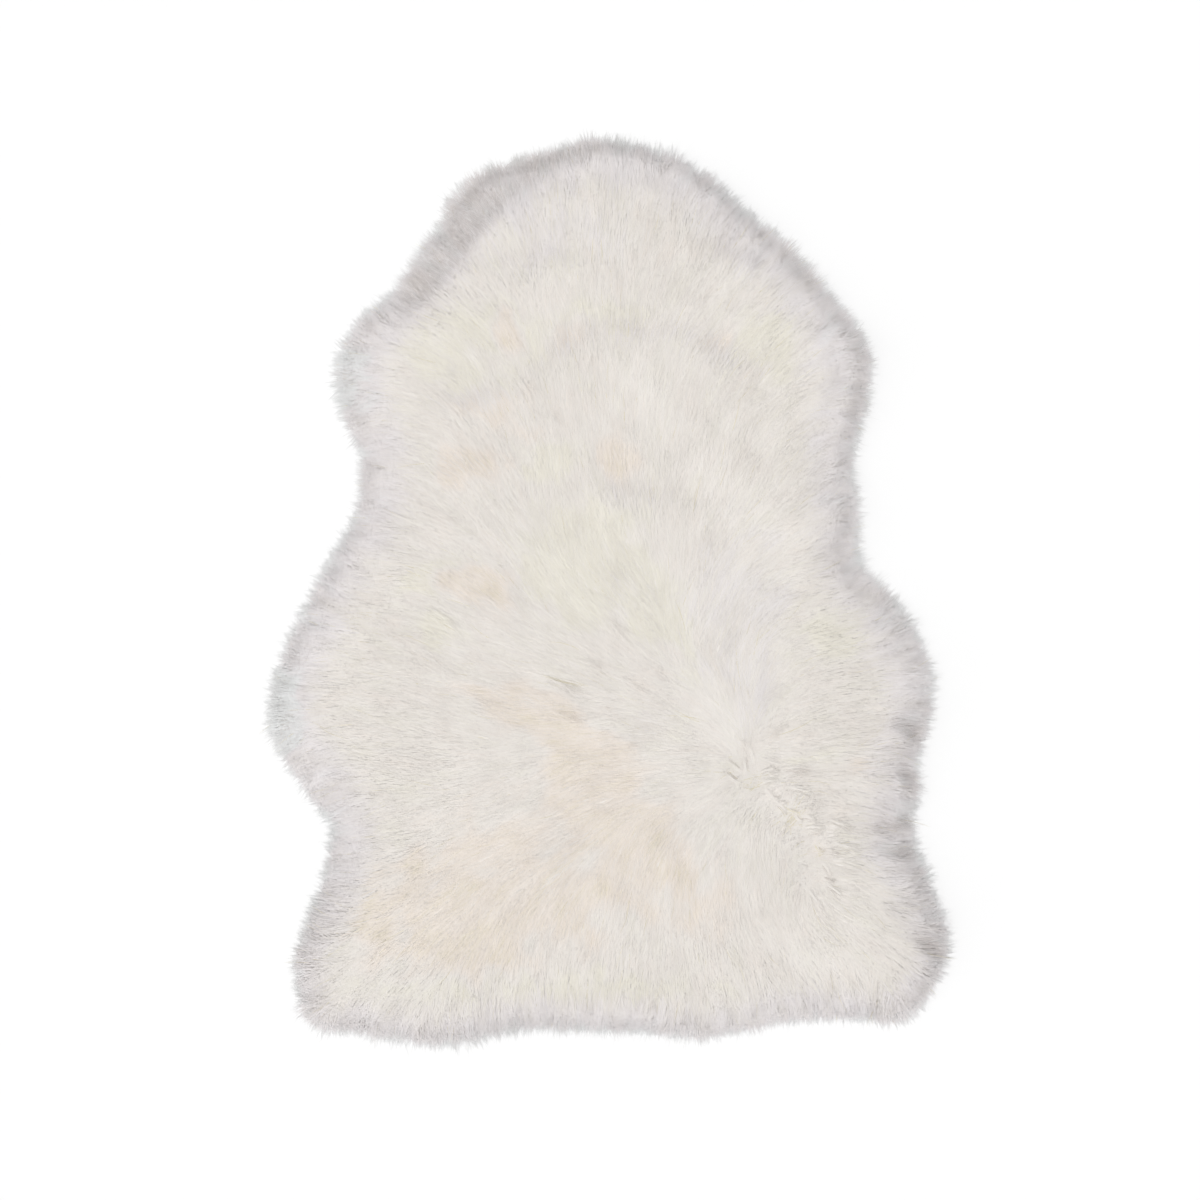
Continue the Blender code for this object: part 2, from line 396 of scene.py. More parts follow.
Stroke = namedtuple("Stroke", "place x_mm y_mm heading_deg reach_mm")
COMBING = [Stroke(*row) for row in (
    ("neck, middle", -20, 380, 92, 70),
    ("neck, left", -110, 360, 125, 50),
    ("neck, right", 70, 350, 68, 60),
    ("left shoulder", -170, 290, 140, 50),
    ("right shoulder", 150, 270, 45, 60),
    ("left foreleg", -220, 210, 172, 50),
    ("right foreleg", 215, 215, 25, 45),
    ("withers", -20, 250, 95, 60),
    ("back, upper left", -90, 200, 115, 50),
    ("back, upper right", 80, 190, 68, 50),
    ("back, upper middle", 0, 160, 98, 50),
    ("left waist", -210, 120, 162, 50),
    ("right waist", 200, 110, 42, 45),
    ("back, left", -120, 100, 130, 45),
    ("back, right", 120, 110, 65, 45),
    ("back, middle", -10, 60, 104, 50),
    ("right thigh, top", 190, 20, 15, 45),
    ("left thigh, top", -220, 10, 172, 60),
    ("loin, left of middle", -60, 0, 130, 45),
    ("loin, middle", 20, -20, 120, 40),
    ("loin, right", 110, -10, 60, 40),
    ("left thigh", -250, -110, 180, 70),
    ("flank, left", -120, -80, 158, 60),
    ("whorl, left", 60, -150, 172, 50),
    ("whorl, above", 130, -110, 108, 35),
    ("right thigh", 250, -90, 8, 60),
    ("whorl, right", 195, -140, 2, 40),
    ("parting, right side, top", 190, -190, -12, 28),
    ("parting, right side, middle", 235, -240, -14, 30),
    ("parting, right side, foot", 240, -290, -25, 30),
    ("parting, left side, top", 115, -200, 215, 28),
    ("parting, left side, middle", 160, -245, 260, 28),
    ("parting, left side, foot", 180, -300, 285, 28),
    ("rump, left of middle", -60, -230, 205, 60),
    ("left hind leg, top", -230, -260, 186, 60),
    ("rump, left", -160, -320, 222, 50),
    ("left hind leg", -270, -370, 225, 50),
    ("rump, middle", 10, -320, 262, 60),
    ("rump, foot", -80, -400, 266, 60),
    ("rump, right", 110, -330, 285, 50),
    ("right hind leg", 240, -370, 308, 50),
    ("right hind leg, tip", 300, -340, -20, 40),
    ("rump, right foot", 150, -410, 285, 50),
)]
COMB_BLUR = 20 * MM  # how far the strokes blend into each other
PARTED_REACH = 26 * MM  # how far off the parting the wool is combed away from it
PARTED_SHARE = 0.85
RIM_COMB_START = 16 * MM  # from here in to the next, the combing turns from outward to the strokes'
RIM_COMB_END = 66 * MM
RIM_COMB_SHARE = 0.9
OPENING_LENGTH = 0.06  # in metres: combing that spreads apart by a radian in this length is fully open
OPENING_BLUR = 8 * MM
RUFFLE_REACH = 24 * MM  # how far off the parting the wool is ruffled
RIM_START = 14 * MM  # the rim's own unevenness fades out from here in to the next
RIM_END = 66 * MM

# The line from which the wool parts, from the whorl down
PARTING_MM = ((138, -172), (146, -190), (165, -208), (188, -226), (204, -246), (210, -264), (209, -294))
PARTING = np.array(PARTING_MM) * MM


def nearest_on_parting():
    """Each grid place's nearest point on the parting, and how far off it is."""
    nearest = np.broadcast_to(PARTING[0], GRID_PLACES.shape)
    gap = np.linalg.norm(GRID_PLACES - nearest, axis=-1)
    for start, end in zip(PARTING[:-1], PARTING[1:]):
        run = end - start
        share = np.clip((GRID_PLACES - start) @ run / (run @ run), 0, 1)
        point = start + share[..., None] * run
        off = np.linalg.norm(GRID_PLACES - point, axis=-1)
        nearest = np.where((off < gap)[..., None], point, nearest)
        gap = np.minimum(gap, off)
    return nearest, gap


on_parting, off_parting = nearest_on_parting()


def combed_headings():
    """Unit headings of the combed wool: away from the parting, outward at the rim, else the strokes'."""
    total = np.zeros(GRID_PLACES.shape)
    for stroke in COMBING:
        weight = bump(stroke, stroke.reach_mm * MM) + 1e-6
        heading = math.radians(stroke.heading_deg)
        total += weight[..., None] * np.array((math.cos(heading), math.sin(heading)))
    total /= lengths(total) + 1e-9
    total = blurred(total, COMB_BLUR)
    total /= lengths(total) + 1e-9
    away = (GRID_PLACES - on_parting) / (off_parting[..., None] + 1e-9)
    parted = PARTED_SHARE * fading(off_parting, PARTED_REACH)[..., None]
    total = total * (1 - parted) + away * parted
    rim = RIM_COMB_SHARE * (1 - smoothstep(inset.values, RIM_COMB_START, RIM_COMB_END))[..., None]
    total = total * (1 - rim) + outward.values * rim
    return Field(total / (lengths(total) + 1e-9))


def drawn_out(size, reach, seed, across=False):
    """A Field of smooth noise drawn out along or across the combing, this far each way."""
    noise = smooth_noise(size, seed)
    total = noise.values
    for sense in (-1, 1):
        places = GRID_PLACES
        for _ in range(int(reach / CELL)):
            heading = comb(places)
            if across:
                heading = sideways(heading)
            places = places + sense * CELL * heading
            total = total + noise(places)
    return Field(total / (2 * total.std()))


comb = combed_headings()


def spreading():
    """How far the combing spreads apart, 0 to 1: there the fibres are rooted further behind."""
    apart = np.gradient(comb.values[..., 0], CELL, axis=1) + np.gradient(comb.values[..., 1], CELL, axis=0)
    return np.clip(blurred(apart, OPENING_BLUR) * OPENING_LENGTH, 0, 1)


spread_open = Field(spreading())
ruffle = Field(fading(off_parting, RUFFLE_REACH))
rimness = Field(1 - smoothstep(inset.values, RIM_START, RIM_END))

# Where the top of the fleece sinks in: shallow folds on the back, deeper valleys and gaps near the rim; the
# wool in them is also painted cool and dark, as painted shade
Fold = namedtuple("Fold", "place x_mm y_mm length_mm width_mm heading_deg depth_mm")
FOLDS = [Fold(*row) for row in (
    ("right rim, top notch", 303, -140, 20, 7, -35, 6),
    ("right rim, middle notch", 298, -181, 16, 8, -60, 5),
    ("right rim, hock", 291, -236, 24, 7, 5, 7),
    ("right rim, under the hock", 290, -262, 20, 6, -10, 6),
    ("right hind leg", 322, -355, 18, 7, -40, 6),
    ("neck, top", -60, 434, 70, 9, 11, 5),
    ("neck, valley's head", -84, 411, 30, 9, 25, 4),
    ("neck, left lobe", -140, 391, 30, 17, 45, 4),
    ("neck, left valley", -131, 371, 36, 12, 47, 10),
    ("left shoulder, valley", -180, 316, 42, 13, 50, 9),
    ("neck, left fold", -82, 330, 56, 9, 8, 2),
    ("neck, right fold", 134, 336, 60, 9, -14, 2),
    ("withers, left", -44, 244, 36, 9, 28, 2.2),
    ("withers, middle", 30, 260, 44, 9, 0, 2.5),
    ("withers, right", 112, 240, 44, 9, -26, 2.5),
    ("back, left", -134, 191, 48, 9, 4, 2.2),
    ("back, left of middle", -144, 127, 40, 13, 15, 1.2),
    ("back, middle", 36, 100, 62, 9, -6, 2.2),
    ("loin, left", -87, -1, 26, 9, 70, 1.4),
    ("loin, middle", 6, -1, 26, 9, 75, 1.4),
    ("flank, left", -118, -104, 64, 9, -37, 0.7),
    ("whorl, left", 38, -126, 30, 9, 70, 1.5),
    ("whorl, right", 156, -104, 32, 9, 80, 1.8),
    ("rump, left of middle", -44, -272, 60, 11, 53, 1.4),
    ("rump, left", -172, -290, 26, 10, 50, 1.3),
)]
PARTING_DEPTH = 0.4 * MM
PARTING_WIDTH = 6 * MM


def fold_depths():
    depth = PARTING_DEPTH * fading(off_parting, PARTING_WIDTH)
    for fold in FOLDS:
        depth += fold.depth_mm * MM * oval_bump(fold)
    return depth


folds = Field(fold_depths())
lock_relief = drawn_out(size=8 * MM, reach=12 * MM, seed=61)
tuft_relief = drawn_out(size=14 * MM, reach=12 * MM, seed=62, across=True)


def fleece_top():
    """Height of the fleece's top: the solid's, with locks, tufts and folds."""
    vigour = 1 + 0.3 * np.clip(GRID_PLACES[..., 1] / 0.3, -1, 0.7)  # livelier at the neck than at the rump
    lock_rise_mm = 0.55 * vigour + 0.8 * rimness.values + 0.4 * ruffle.values
    tuft_rise_mm = 1.9
    locked = height.values + lock_relief.values * lock_rise_mm * MM
    tufted = locked + tuft_relief.values * tuft_rise_mm * vigour * MM
    return np.maximum(tufted - folds.values, LEAST_TOP)


top = Field(fleece_top())
slope = gradient(top)
broad_slope = gradient(height)


def lowered(values, cells):
    """A grid's lowest value within this many cells of each place."""
    for axis in (0, 1):
        values = np.min([np.roll(values, shift, axis=axis) for shift in range(-cells, cells + 1)], axis=0)
    return values


shell_top = Field(blurred(lowered(top.values, cells=2), TOP_BLUR))


def fleece_normals(places):
    """Soft shading normals: those of the fleece's top, with its slopes eased."""
    further_in = inset(places) - FIRM_EASING * firmness(places)
    eased = (SHADING_SLOPE - BACK_SLOPE) * smoothstep(further_in, EASING_START, EASING_END)
    along = eased[..., None] * broad_slope(places) - SHADING_SLOPE * slope(places)
    normals = np.concatenate([along, np.ones((*along.shape[:-1], 1))], axis=-1)
    return normals / lengths(normals)


# ---------------- materials

def principled(name, roughness, gloss):
    """A new material, with its shader and its nodes."""
    material = bpy.data.materials.new(name)
    material.use_nodes = True
    nodes = material.node_tree.nodes
    shader = nodes["Principled BSDF"]
    shader.inputs["Roughness"].default_value = roughness
    shader.inputs["Specular IOR Level"].default_value = gloss
    return material, shader, nodes


def new_node(nodes, kind, **inputs):
    node = nodes.new("ShaderNode" + kind)
    for name, value in inputs.items():
        node.inputs[name].default_value = value
    return node


def link(start, output, end, entry):
    start.id_data.links.new(start.outputs[output], end.inputs[entry])


# The wool's colours in order across its colour map, the cool ones first; the cool greys serve as painted
# shade at the rim and in the folds
Shade = namedtuple("Shade", "name place colour")
SHADES = [Shade(*row) for row in (
    ("cyan grey", 0.04, (0.765, 0.772, 0.768)),
    ("lilac grey", 0.16, (0.776, 0.745, 0.748)),
    ("cool neutral", 0.30, (0.786, 0.755, 0.730)),
    ("cream", 0.45, (0.786, 0.759, 0.678)),
    ("neutral", 0.60, (0.787, 0.756, 0.722)),
    ("peach", 0.80, (0.803, 0.742, 0.681)),
    ("straw", 0.96, (0.700, 0.650, 0.500)),
)]
SHADE_PLACE = {shade.name: shade.place for shade in SHADES}
DARKEST = (0.754, 0.734, 0.716)  # what the colours are multiplied by at the foot of the map
WHITE = (1.0, 1.0, 1.0)
WHITE_PLACE = 0.8  # how far up the map they stop being darkened
UNDER_WOOL_COLOURS = ((0.755, 0.725, 0.695), (0.785, 0.755, 0.725))
SUEDE_COLOURS = ((0.66, 0.59, 0.48), (0.76, 0.70, 0.60))
FLOOR_COLOUR = (0.82, 0.82, 0.82)
SOFT_GLOSS = 0.2
PAINT_GLOSS = 0.5
WOOL_ROUGHNESS = 0.7
ROUGH = 0.9
TRANSLUCENCY = 0.12  # the share of light that goes through a fibre


def colour_ramp(nodes, stops):
    node = new_node(nodes, "ValToRGB")
    while len(node.color_ramp.elements) < len(stops):
        node.color_ramp.elements.new(0.5)
    for element, (position, colour) in zip(node.color_ramp.elements, stops):
        element.position = position
        element.color = (*colour, 1.0)
    return node


def wool_material():
    """Colour by hue across the map, and by lightness up it."""
    material, shader, nodes = principled("wool", WOOL_ROUGHNESS, SOFT_GLOSS)
    uv = new_node(nodes, "UVMap")
    uv.uv_map = "OFBake"
    split = new_node(nodes, "SeparateXYZ")
    link(uv, "UV", split, "Vector")
    hue = colour_ramp(nodes, [(shade.place, shade.colour) for shade in SHADES])
    link(split, "X", hue, "Fac")
    light = colour_ramp(nodes, [(0.0, DARKEST), (WHITE_PLACE, WHITE)])
    link(split, "Y", light, "Fac")
    mix = new_node(nodes, "Mix")
    mix.data_type = "RGBA"
    mix.blend_type = "MULTIPLY"
    mix.inputs["Factor"].default_value = 1.0
    link(hue, "Color", mix, "A")
    link(light, "Color", mix, "B")
    link(mix, "Result", shader, "Base Color")
    translucent = new_node(nodes, "BsdfTranslucent")
    link(mix, "Result", translucent, "Color")
    both = new_node(nodes, "MixShader", Fac=TRANSLUCENCY)
    link(shader, "BSDF", both, 1)
    link(translucent, "BSDF", both, 2)
    link(both, "Shader", nodes["Material Output"], "Surface")
    return material


def mottled_material(name, colours, scale, bump_depth):
    """Two colours mixed by fine and coarse noise, with a bump of the same fine noise."""
    material, shader, nodes = principled(name, ROUGH, SOFT_GLOSS)
    place = new_node(nodes, "TexCoord")
    fine = new_node(nodes, "TexNoise", Scale=scale, Detail=4.0)
    coarse = new_node(nodes, "TexNoise", Scale=scale / 12)
    for noise in (fine, coarse):
        link(place, "Object", noise, "Vector")
    total = new_node(nodes, "Math")
    total.operation = "ADD"
    link(fine, "Fac", total, 0)
    link(coarse, "Fac", total, 1)
    mean = new_node(nodes, "Math")
    mean.operation = "MULTIPLY"
    mean.inputs[1].default_value = 0.5
    link(total, "Value", mean, 0)
    ramp = colour_ramp(nodes, [(0.35, colours[0]), (0.65, colours[1])])
    link(mean, "Value", ramp, "Fac")
    link(ramp, "Color", shader, "Base Color")
    relief = new_node(nodes, "Bump", Strength=0.5, Distance=bump_depth)
    link(fine, "Fac", relief, "Height")
    link(relief, "Normal", shader, "Normal")
    return material


# ---------------- meshes

def mesh_object(name, vertices, quads, material, uvs=None):
    """A smooth mesh of quads, riding the root body in place of the CAD solid."""
    mesh = bpy.data.meshes.new(name)
    mesh.vertices.add(len(vertices))
    mesh.vertices.foreach_set("co", vertices.astype(np.float32).ravel())
    mesh.loops.add(quads.size)
    mesh.loops.foreach_set("vertex_index", quads.astype(np.int32).ravel())
    mesh.polygons.add(len(quads))
    mesh.polygons.foreach_set("loop_start", np.arange(0, quads.size, 4, dtype=np.int32))
    if uvs is not None:
        layer = mesh.uv_layers.new(name="OFBake")
        layer.uv.foreach_set("vector", uvs[quads.ravel()].astype(np.float32).ravel())
    mesh.update(calc_edges=True)
    mesh.shade_smooth()
    mesh.materials.append(material)
    piece = bpy.data.objects.new(name, mesh)
    bpy.context.scene.collection.objects.link(piece)
    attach(piece, "root")
    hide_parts(NODE)
    return piece


def spokes(least_inset, shares):
    """Places on rays from the middle to where the pelt is this far in from its rim, ring by ring."""
    rays = headings(np.linspace(0, 2 * math.pi, SPOKES, endpoint=False))
    reach = np.arange(0, FARTHEST, MM)
    inside = inset(rays[:, None, :] * reach[None, :, None]) > least_inset
    length = (inside * reach).max(axis=1)
    length = (np.roll(length, 1) + 2 * length + np.roll(length, -1)) / 4
    return np.array(shares)[:, None, None] * (length[:, None] * rays)[None, :, :]


def ring_quads(rings):
    """Quads between neighbouring rings of spokes, the first ring being the outermost."""
    ring, spoke = np.meshgrid(np.arange(rings - 1), np.arange(SPOKES), indexing="ij")
    after = (spoke + 1) % SPOKES
    outer, inner = ring * SPOKES, (ring + 1) * SPOKES
    corners = (outer + spoke, outer + after, inner + after, inner + spoke)
    return np.stack(corners, axis=-1).reshape(-1, 4)


def under_wool():
    """The dense wool that shows between the locks."""
    shares = 1 - np.linspace(0, 0.997, SHELL_RINGS) ** 1.2
    places = spokes(SHELL_INSET, shares)
    rise = smoothstep(inset(places), SHELL_INSET, SHELL_INSET + SHELL_WALL)
    depth = SHELL_DEPTH * (1 + 2 * rimness(places) - 0.35 * spread_open(places))
    heights = SHELL_FOOT + (shell_top(places) - depth - SHELL_FOOT) * rise
    vertices = with_heights(places, heights).reshape(-1, 3)
    material = mottled_material("under_wool", UNDER_WOOL_COLOURS, scale=260, bump_depth=0.4 * MM)
    piece = mesh_object("under_wool", vertices, ring_quads(SHELL_RINGS), material)
    piece.data.normals_split_custom_set_from_vertices(fleece_normals(places).reshape(-1, 3))
    return piece


def hide():
    """The tanned skin under the wool, with its flat size and area."""
    shares = (1.0, 0.98, 0.9, 0.6, 0.3, 0.01)
    places = spokes(HIDE_INSET, shares)
    vertices = with_heights(places, np.full(places.shape[:2], HIDE_CLEARANCE)).reshape(-1, 3)
    material = mottled_material("suede", SUEDE_COLOURS, scale=180, bump_depth=0.3 * MM)
    piece = mesh_object("hide", vertices, ring_quads(len(shares)), material)
    thick = piece.modifiers.new("thickness", "SOLIDIFY")
    thick.thickness = HIDE_THICKNESS
    thick.offset = 1.0
    edge = places[0]
    after = np.roll(edge, -1, axis=0)
    area = 0.5 * abs((edge[:, 0] * after[:, 1] - edge[:, 1] * after[:, 0]).sum())
    return piece, np.ptp(edge, axis=0), area


# ---------------- fibres

def area_between(least_inset, most_inset):
    return ((inset.values > least_inset) & (inset.values < most_inset)).sum() * CELL * CELL


def scattered(count, least_inset, most_inset, seed):
    """About this many evenly jittered places between two distances in from the rim."""
    rng = np.random.default_rng(seed)
    step = math.sqrt(area_between(least_inset, most_inset) / count)
    xs = np.arange(Field.low[0], Field.high[0], step)
    ys = np.arange(Field.low[1], Field.high[1], step)
    places = np.stack(np.meshgrid(xs, ys), axis=-1).reshape(-1, 2)
    places += rng.uniform(-0.5, 0.5, places.shape) * step
    found = inset(places)
    return places[(found > least_inset) & (found < most_inset)]


class Locks:
    """Locks of wool: where each is rooted, which way it lies, and how it bends."""

    def __init__(self, spacing, least_inset, most_inset, seed):
        rng = np.random.default_rng(seed)
        wanted = int(area_between(least_inset, most_inset) / spacing**2)
        self.places = scattered(wanted, least_inset, most_inset, seed)
        count = len(self.places)
        wobble = smooth_noise(60 * MM, seed + 1)(self.places)
        ruffled = ruffle(self.places)
        at_rim = rimness(self.places)
        astray_deg = 8 * wobble + rng.normal(0, 1, count) * (4 + 10 * ruffled + 5 * at_rim)
        self.heading = turned(comb(self.places), np.radians(astray_deg))
        self.bend = np.radians(rng.normal(0, 1, count) * (12 + 22 * ruffled + 8 * at_rim))
        self.length = rng.uniform(0.82, 1.12, count)
        self.wave = (0.3 + 1.5 * ruffled + 0.4 * at_rim) * MM * rng.uniform(0.5, 1.5, count)
        self.phase = rng.uniform(0, 2 * math.pi, count)
        self.wavelength = rng.uniform(20, 34, count) * MM
        self.clump = np.clip(rng.normal(0.25, 0.1, count) + 0.4 * ruffled + 0.3 * at_rim, 0.05, 0.9)
        self.lift = rng.uniform(-0.3, 0.3, count) * (1 + 1.5 * at_rim + 1.5 * ruffled) * MM
        self.shortening = 1 - 0.3 * ruffled
        self.reach_out = rng.normal(0, 1.6, count) * MM
        self.tree = KDTree(count)
        for index, place in enumerate(self.places):
            self.tree.insert((*place, 0.0), index)
        self.tree.balance()

    def gathered(self, roots, lock, share):
        """Roots drawn towards the middles of their locks by a share for each of a fibre's points."""
        middle = self.places[lock]
        return middle[:, None, :] + (roots - middle)[:, None, :] * (1 - share)[..., None]

    def nearest(self, places):
        """The number of the lock that is nearest to each place."""
        return np.array([self.tree.find((x, y, 0.0))[1] for x, y in places])


def path_along(heading, bend, travel, t, steps=12):
    """Places along an arc that starts on a heading and turns by the bend, as (fibres, points, 2)."""
    fine = np.linspace(0, 1, steps + 1)
    middle = (fine[1:] + fine[:-1]) / 2
    directions = turned(heading[:, None, :], bend[:, None] * middle[None, :])
    walked = np.concatenate([np.zeros((len(heading), 1, 2)), np.cumsum(directions, axis=1) / steps], axis=1)
    at = t * steps
    cell = np.clip(at.astype(int), 0, steps - 1)
    part = (at - cell)[..., None]
    rows = np.arange(len(heading))[:, None]
    return (walked[rows, cell] * (1 - part) + walked[rows, cell + 1] * part) * travel[:, None, None]


def combed_fibres(count, points, locks, least_inset, most_inset, seed):
    """Centre lines of fibres that lie along the top of the fleece."""
    rng = np.random.default_rng(seed)
    roots = scattered(count, least_inset, most_inset, seed)
    found = len(roots)
    lock = locks.nearest(roots + rng.normal(0, 2.5 * MM, roots.shape))
    length = rng.uniform(0.6, 1.06, found)
    t = np.linspace(0, 1, points)[None, :] * length[:, None]
    spare = (inset(roots) - rng.triangular(*TIP_SPREAD, found) + locks.reach_out[lock]) / length
    travel = np.minimum(FIBRE_TRAVEL * locks.length[lock] * locks.shortening[lock], spare)
    heading = turned(locks.heading[lock], np.radians(rng.normal(0, 4, found)))
    opened = spread_open(roots)
    behind = rng.uniform(0, 1, found) * (RUFFLED_BEHIND_MM * ruffle(roots) + OPENED_BEHIND_MM * opened) * MM
    bend = locks.bend[lock] + np.radians(rng.normal(0, 8, found))
    walked = path_along(heading, bend, travel, t)
    side = sideways(heading)
    swing = locks.wave[lock][:, None] * t * np.sin(
        2 * math.pi * t * travel[:, None] / locks.wavelength[lock][:, None] + locks.phase[lock][:, None]
    )
    clump = locks.clump[lock][:, None] * smoothstep(t, 0.05, 0.95)
    stray = rng.uniform(0, 1, found) < STRAY_SHARE
    clump = np.where(stray[:, None], clump * 0.2, clump)
    plan = locks.gathered(roots, lock, clump) + walked + side[:, None, :] * swing[..., None]
    plan = plan - (behind[:, None] * heading)[:, None, :]
    at_rim = rimness(roots)
    layer = rng.uniform(0, 1, found) * (0.35 + 1.4 * at_rim) * MM
    rooted = ROOT_DEPTH * (1 + at_rim) * (1 - 0.6 * opened)
    depth = rooted[:, None] * (1 - t) ** 1.7 + layer[:, None] * (0.25 + 0.75 * t)
    lift = (locks.lift[lock] + np.where(stray, rng.uniform(0.3, 1.5, found) * MM, 0))[:, None] * t
    return with_heights(plan, np.maximum(top(plan) - depth + lift, LEAST_FIBRE))


def rim_fibres(count, points, locks, seed):
    """Centre lines of the rim's fibres: most lie over its wall and skirt, the rest fill its side."""
    rng = np.random.default_rng(seed)
    roots = scattered(count, *RIM_ROOTS, seed)
    found = len(roots)
    lock = locks.nearest(roots + rng.normal(0, 2.0 * MM, roots.shape))
    t = np.linspace(0, 1, points)[None, :]
    reach = inset(roots) - rng.triangular(*TIP_SPREAD, found) + locks.reach_out[lock]
    wisp = rng.uniform(0, 1, found) < WISP_SHARE
    reach = np.maximum(reach + np.where(wisp, rng.uniform(0, 9, found) * MM, 0), 5 * MM)
    heading = turned(outward(roots), np.radians(14 * smooth_noise(50 * MM, 31)(roots)))
    heading = turned(heading, np.radians(rng.normal(0, 9, found)))
    heading /= lengths(heading)
    walked = path_along(heading, locks.bend[lock] * 0.8 + np.radians(rng.normal(0, 8, found)), reach, t)
    clump = 0.6 * locks.clump[lock][:, None] * smoothstep(t, 0.05, 0.95)
    plan = locks.gathered(roots, lock, clump) + walked
    level = np.where(rng.uniform(0, 1, found) < 0.62, 1.0, rng.uniform(0.05, 1.0, found))
    surface = top(plan) - rng.uniform(0.2, 2.2, found)[:, None] * MM - ROOT_DEPTH * (1 - t) ** 1.7
    return with_heights(plan, RIM_FOOT + (np.maximum(surface, LEAST_FIBRE) - RIM_FOOT) * level[:, None])


# Small loose locks that stand out of the rest: hooked ones at the whorl and down the parting,
# straighter ones on the back
Hook = namedtuple("Hook", "x_mm y_mm length_mm heading_deg curl_deg radius_mm")
HOOKS = [Hook(*row) for row in (
    (145, -178, 36, 92, 40, 1.8),
    (138, -184, 22, 118, -50, 1.5),
    (131, -192, 22, 160, -40, 1.4),
    (134, -182, 24, 150, -20, 1.3),
    (148, -184, 24, 40, -55, 1.4),
    (149, -193, 22, 22, -20, 1.3),
    (152, -197, 22, -20, -40, 1.2),
    (155, -200, 20, -62, 70, 1.2),
    (162, -206, 20, -60, 90, 1.2),
    (167, -212, 18, -20, -60, 1.1),
    (177, -215, 16, -70, 100, 1.1),
    (186, -222, 14, -95, 110, 1.1),
    (189, -226, 22, 15, -60, 1.2),
    (195, -244, 18, 45, -80, 1.3),
    (193, -238, 24, 25, -50, 1.3),
    (206, -252, 16, -95, 120, 1.1),
    (209, -262, 24, 20, -45, 1.3),
    (211, -270, 20, -40, -30, 1.1),
    (211, -284, 18, -60, 80, 1.1),
    (214, -292, 26, -20, -30, 1.2),
    (170, -178, 34, 8, -20, 1.3),
    (176, -196, 30, -2, -18, 1.3),
    (216, -228, 34, -12, -16, 1.3),
    (222, -252, 34, -10, -14, 1.2),
    (158, -150, 30, 62, -50, 1.4),
    (-70, -84, 50, -18, -14, 2.0),
    (-12, -22, 46, -40, 4, 2.0),
    (-175, -20, 34, -30, -10, 1.6),
    (0, -84, 44, -26, 12, 1.6),
    (-38, -66, 36, -22, 8, 1.4),
    (-60, -120, 34, -20, 10, 1.4),
)]
HOOK_FIBRES = 34
HOOK_ARCH = 2.3 * MM
SHADED_SHARE = 0.3  # of a hook's fibres, the ones along its inner side, painted dark as a painted shadow
SHADED_DARKNESS = 0.6  # how far down the colour map these lie at the parting
BACK_DARKNESS = 0.08  # and on the back
LIT_DARKNESS = -0.12  # and a hook's other fibres at the parting, painted lighter as painted light
PARTING_TOP_MM = -160  # in Y


def hooked_fibres(seed):
    """Centre lines of the loose locks' fibres, each drawn to a tip, and how dark each is painted: a painted
    shadow along a hook's inner side, painted light on its other fibres at the parting.
    """
    rng = np.random.default_rng(seed)
    hook = Hook(*np.repeat(np.array(HOOKS, dtype=float), HOOK_FIBRES, axis=0).T)
    count = len(HOOKS) * HOOK_FIBRES
    angle = rng.uniform(0, 2 * math.pi, count)
    disc = np.sqrt(rng.uniform(0, 1, count)) * hook.radius_mm * MM
    offset = headings(angle) * disc[:, None]
    t = np.linspace(0, 1, HOOK_POINTS)[None, :] * rng.uniform(0.8, 1.05, count)[:, None]
    heading = headings(np.radians(hook.heading_deg + rng.normal(0, 4, count)))
    curl = np.radians(hook.curl_deg + rng.normal(0, 10, count))
    walked = path_along(heading, curl, hook.length_mm * MM, t)
    shrink = 1 - 0.7 * smoothstep(t, 0.3, 1.0)
    middle = np.stack([hook.x_mm, hook.y_mm], axis=-1) * MM
    plan = middle[:, None, :] + offset[:, None, :] * shrink[..., None] + walked
    shaded = rng.uniform(0, 1, count) < SHADED_SHARE
    side = sideways(heading) * np.sign(hook.curl_deg)[:, None]
    plan = plan + (shaded * (hook.radius_mm + 0.5) * MM)[:, None, None] * side[:, None, :]
    arch = HOOK_ARCH * np.sin(math.pi * np.clip(t, 0, 1)) + rng.uniform(-0.6, 0.4, count)[:, None] * MM
    heights = top(plan) - ROOT_DEPTH * (1 - t) + arch - 0.7 * MM * shaded[:, None]
    at_parting = np.where(shaded, SHADED_DARKNESS, LIT_DARKNESS)
    darkness = np.where(hook.y_mm < PARTING_TOP_MM, at_parting, BACK_DARKNESS * shaded)
    return with_heights(plan, np.maximum(heights, LEAST_FIBRE)), darkness


def tangled_fibres(count, seed):
    """Centre lines of short fibres that lie every way over the whorl and the parting."""
    rng = np.random.default_rng(seed)
    rows = rng.integers(0, len(PARTING) - 1, count)
    share = rng.uniform(0, 1, count)[:, None]
    roots = PARTING[rows] * (1 - share) + PARTING[rows + 1] * share + rng.normal(0, 6 * MM, (count, 2))
    whorl = rng.uniform(0, 1, count) < 0.35
    roots = np.where(whorl[:, None], PARTING[0] + rng.normal(0, 9 * MM, (count, 2)), roots)
    t = np.linspace(0, 1, 5)[None, :] * np.ones((count, 1))
    heading = turned(comb(roots), np.radians(rng.normal(0, 65, count)))
    travel = rng.uniform(12, 22, count) * MM
    walked = path_along(heading, np.radians(rng.normal(0, 50, count)), travel, t)
    plan = roots[:, None, :] - 0.4 * travel[:, None, None] * heading[:, None, :] + walked
    sunk = 1.2 * MM * (1 - np.sin(math.pi * t)) + rng.uniform(-0.1, 0.5, count)[:, None] * MM
    return with_heights(plan, top(plan) - sunk)


ROLL_DEG = 10  # how far a ribbon may turn about its centre line
ROOT_TINT = 0.045  # how far down the colour map its root lies


